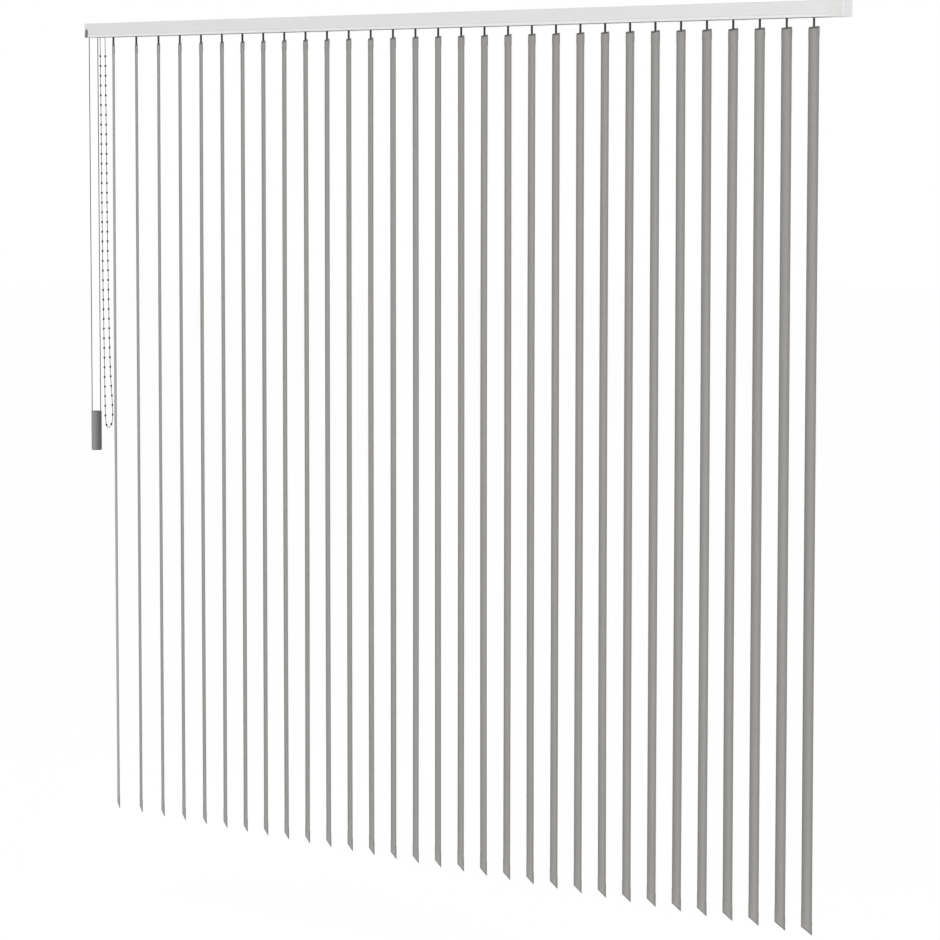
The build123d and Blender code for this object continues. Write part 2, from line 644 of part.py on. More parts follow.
def chain_beads():
    """The beads, evenly along the string, none of them on the wheel while the vanes stand half open."""
    path = FilletPolyline(*chain_route(), radius=chain_radii())
    free = math.pi / 2 * CHAIN_RADIUS + FIRST_BEAD_DROP - ROD_DROP
    strung = path.length - 2 * free
    count = round(strung / BEAD_PITCH)
    places = [(free + strung * number / count) / path.length for number in range(count + 1)]
    one = bead()
    return Compound([Plane(origin=path @ at, z_dir=path % at).location * one for at in places])


def tube(name, route, radii, diameter):
    """A round tube along straight runs joined by tangent arcs, with its radii and length printed."""
    path = FilletPolyline(*route, radius=radii)
    print(name, "length", round(path.length), "corner radii", [round(radius, 1) for radius in radii])
    solid = sweep((path ^ 0) * Circle(diameter / 2), path=path)
    expected = math.pi * diameter**2 / 4 * path.length
    print(name, "volume over section times length", round(solid.volume / expected, 4))
    return solid


def ceiling_clip(x):
    """Bent steel clip: its plate is screwed to the ceiling and its feet hold the rail's lips."""
    top = -CLIP_SHEET / 2
    foot = -RAIL_WALL - CORD_CLEAR - CLIP_SHEET / 2
    points = [
        (-CLIP_FOOT, foot),
        (-CLIP_HALF_TOP - CLIP_SHEET, foot),
        (-CLIP_HALF_TOP, top),
        (CLIP_HALF_TOP, top),
        (CLIP_HALF_TOP + CLIP_SHEET, foot),
        (CLIP_FOOT, foot),
    ]
    section = trace(Polyline(*points), CLIP_SHEET)
    clip = extrude(Plane.YZ.offset(x - CLIP_LENGTH / 2) * section, amount=CLIP_LENGTH)
    return clip - bar((x, 0, -2 * CLIP_SHEET), (x, 0, CLIP_SHEET), SCREW_HOLE / 2)


def every_part():
    """Every node of the blind, by name."""
    parts = {
        "head_rail": head_rail(),
        "control_housing": control_housing(),
        "cord_guide": cord_guide(),
        "end_cap": end_cap(),
        "lead_carrier": lead_carrier(),
        "carrier_row": carrier_row(),
        "tilt_rod": tilt_rod(),
        "worms": worms(),
        "chain_wheel": chain_wheel(),
        "rod_bush": rod_bush(),
        "front_pulley": front_pulley(),
        "front_axle": turning_axle(FRONT_PULLEY_X, -CORD_Y),
        "back_pulley": back_pulley(),
        "back_axle": turning_axle(BACK_PULLEY_X, CORD_Y),
        "return_pulley": return_pulley(),
        "return_axle": return_axle(),
        "weight_pulley": weight_pulley(),
        "weight_axle": weight_axle(),
        "cord_weight": cord_weight(),
        "draw_cord": draw_cord(),
        "bead_chain": bead_chain(),
        "chain_beads": chain_beads(),
    }
    for number, x in enumerate(CLIP_PLACES, start=1):
        parts[f"ceiling_clip_{number}"] = ceiling_clip(x)
    one_vane = vane()
    for number, x in enumerate(VANE_X, start=1):
        parts[f"vane_{number:02d}"] = Pos(x, 0, 0) * Rot(0, 0, -VANE_ANGLE) * one_vane
    return parts


os.makedirs("parts", exist_ok=True)
for name, part in every_part().items():
    export_step(part, f"parts/{name}.step")
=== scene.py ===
import math
import random

import bpy
from mathutils import Matrix, Vector


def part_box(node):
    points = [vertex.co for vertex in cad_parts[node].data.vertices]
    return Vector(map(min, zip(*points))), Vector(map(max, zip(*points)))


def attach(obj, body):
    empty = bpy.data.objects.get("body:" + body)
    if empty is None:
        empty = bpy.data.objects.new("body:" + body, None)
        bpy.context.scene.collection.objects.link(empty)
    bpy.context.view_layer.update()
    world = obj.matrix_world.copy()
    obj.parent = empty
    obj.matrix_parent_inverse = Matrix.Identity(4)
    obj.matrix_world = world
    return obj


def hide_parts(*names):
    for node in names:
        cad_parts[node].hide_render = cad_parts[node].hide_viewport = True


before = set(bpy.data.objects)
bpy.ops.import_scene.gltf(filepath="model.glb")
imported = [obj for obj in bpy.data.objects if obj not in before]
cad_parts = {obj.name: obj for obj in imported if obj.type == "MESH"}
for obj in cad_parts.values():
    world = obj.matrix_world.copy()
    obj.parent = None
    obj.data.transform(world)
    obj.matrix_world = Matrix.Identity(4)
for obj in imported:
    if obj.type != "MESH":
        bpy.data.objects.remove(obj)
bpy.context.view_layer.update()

# Camera. A long lens stands far in front of the blind and to its right, well above its middle,
# so that the rail runs up to the right and the vanes are seen nearly edge on.
CAMERA_PLACE = (5.19586, -6.55977, -0.35179)
camera = bpy.data.objects.new("camera", bpy.data.cameras.new("camera"))
bpy.context.scene.collection.objects.link(camera)
camera.data.sensor_width = 36.0
camera.data.lens = 117.53
camera.data.shift_y = -0.12698
heading = math.radians(37.687)
pitch = math.radians(3.873)
roll = math.radians(0.0492)
forward = Vector((-math.sin(heading), math.cos(heading), 0.0))
ahead = forward * math.cos(pitch) - Vector((0.0, 0.0, math.sin(pitch)))
level = Vector((math.cos(heading), math.sin(heading), 0.0))
above = level.cross(ahead)
across = level * math.cos(roll) + above * math.sin(roll)
upward = above * math.cos(roll) - level * math.sin(roll)
camera_turn = Matrix((across, upward, -ahead)).transposed().to_4x4()
camera.matrix_world = Matrix.Translation(CAMERA_PLACE) @ camera_turn
bpy.context.scene.camera = camera


# Head rail. An aluminium extrusion with a raised band along each lower edge, in white powder
# coat, whose fine grain breaks up the shine. The raised band is painted a lighter white: painted
# light. The slotted underside is painted a darker grey: painted shade. It hangs in its clips
# with its slotted side down.
class Link:
    """A socket of a material. Sums and products of links and numbers add the nodes they need."""

    def __init__(self, finish, socket):
        self.finish = finish
        self.socket = socket

    def calculate(self, operation, *values):
        settings = {"operation": operation}
        return self.finish.node("ShaderNodeMath", settings, dict(enumerate(values)))

    def __add__(self, other):
        return self.calculate("ADD", self, other)

    __radd__ = __add__

    def __mul__(self, other):
        return self.calculate("MULTIPLY", self, other)

    __rmul__ = __mul__

    def __sub__(self, other):
        return self.calculate("SUBTRACT", self, other)

    def __rsub__(self, other):
        return self.calculate("SUBTRACT", other, self)

    def __abs__(self):
        return self.calculate("ABSOLUTE", self)

    def sine(self):
        return self.calculate("SINE", self)

    def step(self, start, end):
        """0 before start and 1 after end, or the other way round where end is the lower."""
        limits = {"From Min": start, "From Max": end, "Value": self}
        return self.finish.node("ShaderNodeMapRange", {"interpolation_type": "SMOOTHSTEP"}, limits)

    def most(self, other):
        return self.calculate("MAXIMUM", self, other)


class Finish:
    """A material for one finish of the blind."""

    def __init__(self, name, roughness, **constants):
        self.material = bpy.data.materials.new(name)
        self.material.use_nodes = True
        self.nodes = self.material.node_tree.nodes
        self.surface = self.nodes["Principled BSDF"]
        self.surface.inputs["Roughness"].default_value = roughness
        for socket, value in constants.items():
            self.surface.inputs[socket.replace("_", " ")].default_value = value

    def connect(self, socket, value):
        if isinstance(value, Link):
            self.material.node_tree.links.new(value.socket, socket)
        else:
            socket.default_value = value

    def node(self, kind, settings, sockets, output=0):
        """Any node: its settings first, then the values or links of its sockets."""
        made = self.nodes.new(kind)
        for name, value in settings.items():
            setattr(made, name, value)
        for name, value in sockets.items():
            self.connect(made.inputs[name], value)
        return Link(self, made.outputs[output])

    def place(self):
        """Where a point is on the object, in metres."""
        return self.node("ShaderNodeTexCoord", {}, {}, "Object")

    def part(self, axis, where=None):
        """One of the three parts, X, Y or Z, of where a point is."""
        return self.node("ShaderNodeSeparateXYZ", {}, {"Vector": where or self.place()}, axis)

    def noise(self, size, detail=2.0, where=None):
        """Soft random patches of about that size in metres, from 0 to 1."""
        sockets = {"Vector": where or self.place(), "Scale": 1.0 / size, "Detail": detail}
        return self.node("ShaderNodeTexNoise", {}, sockets, "Fac")

    def blend(self, amount, first, second):
        """A colour from first at 0 to second at 1."""
        sockets = {"Factor": amount, 6: first, 7: second}
        return self.node("ShaderNodeMix", {"data_type": "RGBA"}, sockets, 2)

    def paint(self, colour):
        self.connect(self.surface.inputs["Base Color"], colour)

    def shine(self, roughness):
        self.connect(self.surface.inputs["Roughness"], roughness)

    def relief(self, height, depth):
        """Bumps as high as depth, in metres, where height is 1."""
        sockets = {"Height": height, "Distance": depth, "Strength": 1.0}
        bumps = self.node("ShaderNodeBump", {}, sockets, "Normal")
        self.connect(self.surface.inputs["Normal"], bumps)

    def put_on(self, *pieces):
        for piece in pieces:
            piece.data.materials.clear()
            piece.data.materials.append(self.material)


def grey(red, green, blue):
    """A display colour, 0 to 255 for each part, as the shader takes it."""
    parts = [part / 255 for part in (red, green, blue)]
    return (*[(p / 12.92 if p <= 0.04045 else ((p + 0.055) / 1.055) ** 2.4) for p in parts], 1.0)


BAND_TOP = -0.0330
BAND_FULL = -0.0345
UNDERSIDE_ABOVE = -0.0407
UNDERSIDE = -0.0411
powder_coat = Finish("powder_coat", 0.42)
coat_grain = powder_coat.noise(0.0012)
level_on_rail = powder_coat.part("Z")
white_coat = powder_coat.blend(powder_coat.noise(0.25), grey(212, 212, 212), grey(216, 216, 216))
# Painted light: the raised band along the lower edge is painted a lighter white.
band_painted_light = level_on_rail.step(BAND_TOP, BAND_FULL)
white_coat = powder_coat.blend(band_painted_light, white_coat, grey(223, 223, 223))
# Painted shade: the slotted underside is painted a darker grey.
underside_painted_shade = level_on_rail.step(UNDERSIDE_ABOVE, UNDERSIDE)
powder_coat.paint(powder_coat.blend(underside_painted_shade, white_coat, grey(146, 146, 146)))
powder_coat.shine(0.36 + coat_grain * 0.14)
powder_coat.relief(coat_grain, 0.00004)
powder_coat.put_on(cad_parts["head_rail"])

# Control unit and end cap. White mouldings pushed into the two ends of the rail. They are as
# white as the coated metal and a little duller, with faint flow marks.
moulded_white = Finish("moulded_white", 0.6)
flow = moulded_white.noise(0.03, 3.0)
moulded_white.paint(moulded_white.blend(flow, grey(211, 211, 210), grey(216, 216, 215)))
moulded_white.shine(0.56 + flow * 0.12)
moulded_white.relief(moulded_white.noise(0.0008), 0.00002)
moulded_white.put_on(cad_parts["control_housing"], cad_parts["end_cap"])

# Cord guide, chain wheel and worms. Dark grey mouldings with the fine spark texture of a mould
# that isn't polished. The guide's rounded nose closes the notch in the corner of the rail.
dark_moulding = Finish("dark_moulding", 0.55)
spark = dark_moulding.noise(0.0006, 3.0)
dark_moulding.paint(dark_moulding.blend(spark, grey(102, 101, 100), grey(116, 115, 114)))
dark_moulding.shine(0.48 + spark * 0.16)
dark_moulding.relief(spark, 0.00005)
dark_moulding.put_on(*[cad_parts[name] for name in ("cord_guide", "chain_wheel", "worms")])

# Ceiling clips, pulley pins and the pin in the weight. Bent sheet and drawn wire, zinc plated:
# a cool grey metal with cloudy patches of plating.
zinc = Finish("zinc_plate", 0.35, Metallic=1.0)
plating = zinc.noise(0.006, 4.0)
zinc.paint(zinc.blend(plating, grey(150, 152, 155), grey(186, 187, 188)))
zinc.shine(0.28 + plating * 0.22)
zinc.relief(zinc.noise(0.0005), 0.00001)
zinc_nodes = [f"ceiling_clip_{number}" for number in range(1, 5)]
zinc_nodes += ["front_axle", "back_axle", "return_axle", "weight_axle"]
zinc.put_on(*[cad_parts[name] for name in zinc_nodes])

# Carriers, pulleys and the rod's bush. Mid grey acetal, slippery and a little waxy, with the
# softly mottled colour of a natural plastic.
acetal = Finish("grey_acetal", 0.4)
mottle = acetal.noise(0.004, 3.0)
acetal.paint(acetal.blend(mottle, grey(112, 112, 111), grey(130, 130, 129)))
acetal.shine(0.34 + mottle * 0.14)
acetal.relief(acetal.noise(0.0007), 0.00002)
acetal_nodes = ["lead_carrier", "carrier_row", "rod_bush"]
acetal_nodes += ["front_pulley", "back_pulley", "return_pulley", "weight_pulley"]
acetal.put_on(*[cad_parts[name] for name in acetal_nodes])

# Tilt rod. A drawn aluminium rod with three grooves, mill finish: fine lines run along it.
mill_finish = Finish("mill_finish", 0.3, Metallic=1.0)
LINES_PER_METRE = (2.0, 900.0, 900.0)
drawn_out = {"Vector": mill_finish.place(), "Scale": LINES_PER_METRE}
draw_lines = mill_finish.node("ShaderNodeMapping", {"vector_type": "POINT"}, drawn_out)
lines = mill_finish.noise(1.0, 2.0, draw_lines)
mill_finish.paint(mill_finish.blend(lines, grey(168, 169, 171), grey(196, 197, 198)))
mill_finish.shine(0.26 + lines * 0.18)
mill_finish.relief(lines, 0.00001)
mill_finish.put_on(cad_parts["tilt_rod"])

# Draw cord. A limp braided polyester cord, clamped at both ends in the lead carrier. It runs
# inside the rail round the return pulley, and down to the weight in its loop beside the end.
CORD_DIAMETER = 0.0025
THINNEST = 0.0001


def cord_curve(name, points, diameter):
    """One smooth open cord along its control points, in metres, or a bare line at diameter 0."""
    curve = bpy.data.curves.new(name, "CURVE")
    curve.dimensions = "3D"
    spline = curve.splines.new("NURBS")
    spline.points.add(len(points) - 1)
    for point, place in zip(spline.points, points):
        point.co = (*place, 1.0)
        point.radius = max(diameter / 2, THINNEST)
    spline.order_u = 3
    spline.use_endpoint_u = True
    spline.resolution_u = 8
    curve.bevel_depth = 1.0 if diameter else 0.0
    curve.bevel_resolution = 3
    cord = bpy.data.objects.new(name, curve)
    bpy.context.scene.collection.objects.link(cord)
    return cord


DRAW_CORD_POINTS = [
    (-1.1963, -0.009, -0.0096),
    (1.2710, -0.009, -0.0096),
    (1.2910, -0.009, -0.0096),
    (1.2910, 0.009, -0.0096),
    (1.2710, 0.009, -0.0096),
    (-1.2618, 0.009, -0.0096),
    (-1.2768, 0.009, -0.0096),
    (-1.2768, 0.009, -0.0246),
    (-1.2756, 0.009, -1.1560),
    (-1.2756, 0.009, -1.18102),
    (-1.2930, -0.009, -1.18102),
    (-1.2930, -0.009, -1.1560),
    (-1.2942, -0.009, -0.0246),
    (-1.2942, -0.009, -0.0096),
    (-1.2792, -0.009, -0.0096),
    (-1.2103, -0.009, -0.0096),
]
draw_cord = cord_curve("draw_cord_braid", DRAW_CORD_POINTS, CORD_DIAMETER)
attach(draw_cord, "root")
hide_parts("draw_cord")
STRAND_PITCH = 0.0022


def braided(name, dark, light):
    """A matt round braid whose strands cross, between two shades."""
    braid = Finish(name, 0.85)
    along = braid.part("X") + braid.part("Z")
    around = braid.part("Y")
    strand = 2 * math.pi / STRAND_PITCH
    right_strands = ((along + around) * strand).sine()
    left_strands = ((along - around) * strand).sine()
    plait = abs(right_strands * left_strands)
    braid.paint(braid.blend(plait, dark, light))
    braid.relief(plait, 0.00015)
    return braid


braided("cord_braid", grey(68, 67, 66), grey(92, 91, 89)).put_on(draw_cord)

# Cord weight. A plain cylinder in grey satin plastic over a metal core, with a slot across its
# top where the pulley hangs in the loop of the draw cord.
satin_grey = Finish("satin_grey", 0.6)
skin = satin_grey.noise(0.0009, 3.0)
satin_grey.paint(satin_grey.blend(satin_grey.noise(0.02), grey(132, 130, 129), grey(140, 138, 137)))
satin_grey.shine(0.52 + skin * 0.16)
satin_grey.relief(skin, 0.00003)
satin_grey.put_on(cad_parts["cord_weight"])

# Tilt chain. A thin dark string over the chain wheel, with small dark barrel beads moulded onto
# it wide apart. It hangs free, down to about the middle of the weight.
STRING_DIAMETER = 0.0018
CHAIN_POINTS = [
    (-1.2550, 0.00695, -0.0141),
    (-1.2550, -0.0034, -0.0141),
    (-1.2549, -0.0034, -0.0350),
    (-1.2525, -0.0036, -0.3300),
    (-1.2516, -0.0036, -0.6500),
    (-1.2516, 0.0021, -1.0200),
    (-1.2516, 0.0037, -1.1300),
    (-1.2516, 0.0046, -1.1770),
    (-1.2516, 0.0106, -1.2020),
    (-1.2516, 0.0266, -1.2020),
    (-1.2516, 0.0362, -1.1770),
    (-1.2516, 0.0345, -1.1300),
    (-1.2516, 0.0247, -1.0200),
    (-1.2516, 0.0182, -0.6500),
    (-1.2525, 0.0176, -0.3300),
    (-1.2549, 0.0174, -0.0350),
    (-1.2550, 0.0174, -0.0141),
    (-1.2550, 0.00705, -0.0141),
]
chain_string = cord_curve("chain_string", CHAIN_POINTS, STRING_DIAMETER)
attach(chain_string, "root")
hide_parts("bead_chain")
braided("string_braid", grey(26, 25, 24), grey(42, 41, 40)).put_on(chain_string)

LINE_STEPS = 32


def line_along(points):
    """The points of a cord's own smooth line, read from its curve without its thickness."""
    bare = cord_curve("bare_line", points, 0.0)
    bare.data.resolution_u = LINE_STEPS
    bare.data.splines[0].resolution_u = LINE_STEPS
    bpy.context.view_layer.update()
    mesh = bpy.data.meshes.new_from_object(bare)
    places = [vertex.co.copy() for vertex in mesh.vertices]
    bpy.data.objects.remove(bare)
    bpy.data.meshes.remove(mesh)
    return places


def spot_on(places, distance):
    """The place and the direction at that distance along a line of places."""
    for here, after in zip(places, places[1:]):
        run = after - here
        if distance <= run.length:
            return here + run.normalized() * distance, run.normalized()
        distance -= run.length
    return places[-1], (places[-1] - places[-2]).normalized()


def pick(piece, kind, test):
    """Edit mode with those points (VERT), edges (EDGE) or faces (FACE) picked that pass the test."""
    bpy.context.view_layer.objects.active = piece
    bpy.ops.object.mode_set(mode="EDIT")
    bpy.ops.mesh.select_mode(type=kind)
    bpy.ops.mesh.select_all(action="DESELECT")
    bpy.ops.object.mode_set(mode="OBJECT")
    mesh = piece.data
    for part in {"VERT": mesh.vertices, "EDGE": mesh.edges, "FACE": mesh.polygons}[kind]:
        part.select = test(part)
    bpy.ops.object.mode_set(mode="EDIT")


BEAD_WIDE = 0.0056
BEAD_HIGH = 0.0062
BEAD_ROUND = 0.0014
BEAD_COUNT = 78
FIRST_BEAD = 0.0887
bpy.ops.object.select_all(action="DESELECT")
bpy.ops.mesh.primitive_cylinder_add(vertices=12, radius=BEAD_WIDE / 2, depth=BEAD_HIGH)
one_bead = bpy.context.object
pick(one_bead, "FACE", lambda face: abs(face.normal.z) > 0.9)
bpy.ops.mesh.bevel(offset=BEAD_ROUND, segments=3, affect="EDGES")
bpy.ops.object.mode_set(mode="OBJECT")
string_line = line_along(CHAIN_POINTS)
string_length = sum((after - here).length for here, after in zip(string_line, string_line[1:]))
beaded_length = string_length - 2 * FIRST_BEAD
beads = []
for number in range(BEAD_COUNT):
    distance = FIRST_BEAD + beaded_length * number / (BEAD_COUNT - 1)
    spot, direction = spot_on(string_line, distance)
    copy = bpy.data.objects.new("bead", one_bead.data.copy())
    bpy.context.scene.collection.objects.link(copy)
    threaded = direction.to_track_quat("Z", "Y").to_matrix().to_4x4()
    copy.data.transform(Matrix.Translation(spot) @ threaded)
    beads.append(copy)
bpy.data.objects.remove(one_bead)
bpy.ops.object.select_all(action="DESELECT")
for bead in beads:
    bead.select_set(True)
bpy.context.view_layer.objects.active = beads[0]
bpy.ops.object.join()
chain_beads = bpy.context.object
chain_beads.name = "moulded_beads"
bpy.ops.object.shade_smooth_by_angle(angle=math.radians(40))
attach(chain_beads, "root")
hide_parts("chain_beads")
bead_plastic = Finish("bead_plastic", 0.4)
gate = bead_plastic.noise(0.002, 2.0)
bead_plastic.paint(bead_plastic.blend(gate, grey(24, 23, 22), grey(36, 35, 34)))
bead_plastic.shine(0.34 + gate * 0.16)
bead_plastic.relief(bead_plastic.noise(0.0006), 0.00003)
bead_plastic.put_on(chain_beads)

# Vane cloth. A stiffened polyester strip with a plain weave that is darker along its foot, with a
# pocket folded over the hanger at the top and a hem round the weight below. Towards its sides,
# and more at its right edge, it is painted darker: painted shade of the neighbouring vanes.
VANE_WIDTH = 0.089
CLOTH_TOP = -0.0686
CLOTH_BOTTOM = -2.3366
POCKET = 0.024
HEM = 0.036
PLY = 0.0006
FOLD = 0.00045
TURN = 0.0004
SLOPE = 0.003
SAME = 0.00001
high = CLOTH_TOP - TURN
low = CLOTH_BOTTOM + TURN


def cut_level(piece, height):
    """A new row of points across the piece at that height."""
    bpy.context.view_layer.objects.active = piece
    bpy.ops.object.mode_set(mode="EDIT")
    bpy.ops.mesh.select_all(action="SELECT")
    bpy.ops.mesh.bisect(plane_co=(0.0, 0.0, height), plane_no=(0.0, 0.0, 1.0))
    bpy.ops.object.mode_set(mode="OBJECT")


def fold_back(piece, edge, turn, length):
    """The edge row at that height folded round to the back, with a second layer of that length."""
    pick(piece, "VERT", lambda point: abs(point.co.z - edge) < SAME)
    bpy.ops.mesh.extrude_region_move(TRANSFORM_OT_translate={"value": (0.0, FOLD, turn)})
    bpy.ops.mesh.extrude_region_move(TRANSFORM_OT_translate={"value": (0.0, FOLD, -turn)})
    bpy.ops.mesh.extrude_region_move(TRANSFORM_OT_translate={"value": (0.0, 0.0, length)})
    bpy.ops.object.mode_set(mode="OBJECT")


bpy.ops.object.select_all(action="DESELECT")
bpy.ops.mesh.primitive_grid_add(
    x_subdivisions=8, y_subdivisions=40, size=1.0, rotation=(math.radians(90), 0.0, 0.0)
)
cloth = bpy.context.object
cloth.scale = (VANE_WIDTH, high - low, 1.0)
cloth.location = (0.0, 0.0, (high + low) / 2)
bpy.ops.object.transform_apply(location=True, rotation=True, scale=True)
pocket_foot = high - POCKET
hem_top = low + HEM
for height in (pocket_foot, pocket_foot - SLOPE, hem_top, hem_top + SLOPE):
    cut_level(cloth, height)
pick(cloth, "VERT", lambda point: point.co.z > pocket_foot - SAME or point.co.z < hem_top + SAME)
bpy.ops.transform.translate(value=(0.0, -FOLD, 0.0))
bpy.ops.object.mode_set(mode="OBJECT")
fold_back(cloth, high, TURN, -POCKET)
fold_back(cloth, low, -TURN, HEM)
uv = cloth.data.uv_layers.new(name="cloth")
for loop in cloth.data.loops:
    place = cloth.data.vertices[loop.vertex_index].co
    uv.data[loop.index].uv = (place.x / VANE_WIDTH + 0.5, (place.z - CLOTH_BOTTOM) / VANE_WIDTH)
ply = cloth.modifiers.new("ply", "SOLIDIFY")
ply.thickness = PLY
ply.offset = 0.0
bpy.ops.object.modifier_apply(modifier="ply")
bpy.ops.object.shade_smooth_by_angle(angle=math.radians(35))

THREAD_PITCH = 0.0007
THREADS = VANE_WIDTH / THREAD_PITCH
weave = Finish("vane_weave", 0.85, Sheen_Weight=0.15)
cloth_place = weave.node("ShaderNodeUVMap", {"uv_map": "cloth"}, {})
side = weave.part("X", cloth_place)
length = weave.part("Y", cloth_place)
slub = weave.noise(0.012, 3.0, cloth_place)
warp = (side * (math.pi * THREADS)).sine()
weft = ((length + slub * 0.004) * (math.pi * THREADS)).sine()
over = (warp * weft).step(-0.15, 0.15)
threads = abs(warp) * over + abs(weft) * (1 - over)
# Painted shade: the cloth is painted darker towards both sides and more at its right edge, for the
# shade of the neighbouring vanes.
side_painted_shade = abs(side - 0.46).step(0.12, 0.46)
right_edge_painted_shade = side.step(0.77, 0.81)
foot = length.step(0.05, 0.03)
cloth_colour = weave.blend(threads, grey(149, 147, 144), grey(167, 165, 162))
cloth_colour = weave.blend(weave.noise(0.3, 2.0), cloth_colour, grey(159, 157, 154))
# The painted shade of the neighbouring vanes, towards the sides and at the right edge.
cloth_colour = weave.blend(side_painted_shade * 0.7, cloth_colour, grey(136, 134, 132))
cloth_colour = weave.blend(right_edge_painted_shade * 0.3, cloth_colour, grey(112, 110, 108))
cloth_colour = weave.blend(foot * 0.8, cloth_colour, grey(100, 98, 96))
weave.paint(cloth_colour)
weave.shine(0.78 + threads * 0.12)
weave.relief(threads + slub * 0.5, 0.00012)
weave.put_on(cloth)

# Hanger plate. A flat grey plastic strip with rounded corners, pushed into the pocket. Its upper
# edge stands out of the cloth and is held by the stem's hook.
HANGER_TOP = -0.0636
HANGER_WIDE = 0.0878
HANGER_THICK = 0.0008
HANGER_HIGH = 0.027
HANGER_CORNER = 0.003
bpy.ops.object.select_all(action="DESELECT")
bpy.ops.mesh.primitive_cube_add(size=1.0, location=(0.0, 0.0, HANGER_TOP - HANGER_HIGH / 2))
hanger = bpy.context.object
hanger.scale = (HANGER_WIDE, HANGER_THICK, HANGER_HIGH)
bpy.ops.object.transform_apply(location=False, rotation=False, scale=True)
bpy.ops.object.transform_apply(location=True, rotation=False, scale=False)


def across_plate(edge):
    """Whether an edge of the hanger runs through the plate from front to back, at a corner."""
    first, second = (hanger.data.vertices[number].co for number in edge.vertices)
    return abs(first.y - second.y) > HANGER_THICK / 2


pick(hanger, "EDGE", across_plate)
bpy.ops.mesh.bevel(offset=HANGER_CORNER, segments=4, affect="EDGES")
bpy.ops.object.mode_set(mode="OBJECT")
bpy.ops.object.shade_smooth_by_angle(angle=math.radians(40))
hanger_grey = Finish("hanger_grey", 0.65)
sink = hanger_grey.noise(0.008, 2.0)
hanger_grey.paint(hanger_grey.blend(sink, grey(90, 88, 86), grey(102, 100, 98)))
hanger_grey.shine(0.6 + sink * 0.16)
hanger_grey.relief(hanger_grey.noise(0.0008), 0.00002)
hanger_grey.put_on(hanger)

# Stem. A dark acetal pin, turned by the worm through its gear head inside the carrier, with a
# moulded two-jawed hook at its foot that grips the hanger plate.
STEM_RADIUS = 0.003
STEM_HIGH = 0.0321
STEM_MIDDLE = -0.04805
GEAR_HEAD_SHARE = 1.18
GEAR_HEAD_HIGH = 0.0156
HOOK_SIZE = (0.0075, 0.0032, 0.012)
HOOK_MIDDLE = -0.0616
HOOK_TAPER = (0.62, 0.9, 1.0)
JAW_WALL = 0.0009
JAW_DEPTH = 0.005
stem_top = STEM_MIDDLE + STEM_HIGH / 2
hook_top = HOOK_MIDDLE + HOOK_SIZE[2] / 2
bpy.ops.object.select_all(action="DESELECT")
bpy.ops.mesh.primitive_cylinder_add(
    vertices=20, radius=STEM_RADIUS, depth=STEM_HIGH, location=(0.0, 0.0, STEM_MIDDLE)
)
stem = bpy.context.object
bpy.ops.object.transform_apply(location=True, rotation=False, scale=False)
pick(stem, "VERT", lambda point: point.co.z > stem_top - SAME)
bpy.ops.mesh.extrude_region_move(TRANSFORM_OT_translate={"value": (0.0, 0.0, 0.0)})
bpy.ops.transform.resize(value=(GEAR_HEAD_SHARE, GEAR_HEAD_SHARE, 1.0))
bpy.ops.mesh.extrude_region_move(TRANSFORM_OT_translate={"value": (0.0, 0.0, GEAR_HEAD_HIGH)})
bpy.ops.mesh.bevel(offset=0.0005, segments=2, affect="EDGES")
bpy.ops.object.mode_set(mode="OBJECT")
bpy.ops.object.select_all(action="DESELECT")
bpy.ops.mesh.primitive_cube_add(size=1.0, location=(0.0, 0.0, HOOK_MIDDLE))
hook = bpy.context.object
hook.scale = HOOK_SIZE
bpy.ops.object.transform_apply(location=True, rotation=False, scale=True)
pick(hook, "VERT", lambda point: point.co.z > HOOK_MIDDLE)
bpy.ops.transform.resize(value=HOOK_TAPER, center_override=(0.0, 0.0, hook_top))
bpy.ops.object.mode_set(mode="OBJECT")
pick(hook, "FACE", lambda face: face.normal.z < -0.9)
bpy.ops.mesh.inset(thickness=JAW_WALL)
bpy.ops.mesh.extrude_region_move(TRANSFORM_OT_translate={"value": (0.0, 0.0, JAW_DEPTH)})
bpy.ops.mesh.select_all(action="SELECT")
bpy.ops.mesh.bevel(offset=0.0004, segments=2, affect="EDGES", clamp_overlap=True)
bpy.ops.object.mode_set(mode="OBJECT")
stem.select_set(True)
bpy.context.view_layer.objects.active = stem
bpy.ops.object.join()
bpy.ops.object.shade_smooth_by_angle(angle=math.radians(40))
stem_acetal = Finish("stem_acetal", 0.42)
wax = stem_acetal.noise(0.003, 3.0)
stem_acetal.paint(stem_acetal.blend(wax, grey(26, 25, 24), grey(36, 35, 34)))
stem_acetal.shine(0.36 + wax * 0.14)
stem_acetal.relief(stem_acetal.noise(0.0006), 0.00002)
stem_acetal.put_on(stem)

# Hem weight. A coated steel strip in the hem that keeps the vane straight. Only its two ends
# show, at the open sides of the hem.
BALLAST_SIZE = (0.087, 0.0007, 0.03)
bpy.ops.object.select_all(action="DESELECT")
bpy.ops.mesh.primitive_cube_add(size=1.0, location=(0.0, 0.0, CLOTH_BOTTOM + HEM / 2))
ballast = bpy.context.object
ballast.scale = BALLAST_SIZE
bpy.ops.object.transform_apply(location=True, rotation=False, scale=True)
bpy.ops.object.mode_set(mode="EDIT")
bpy.ops.mesh.select_all(action="SELECT")
bpy.ops.mesh.bevel(offset=0.0003, segments=2, affect="EDGES")
bpy.ops.object.mode_set(mode="OBJECT")
bpy.ops.object.shade_smooth_by_angle(angle=math.radians(40))
coated_steel = Finish("coated_steel", 0.4, Metallic=0.6)
scuff = coated_steel.noise(0.004, 4.0)
coated_steel.paint(coated_steel.blend(scuff, grey(118, 118, 117), grey(146, 146, 145)))
coated_steel.shine(0.32 + scuff * 0.2)
coated_steel.put_on(ballast)

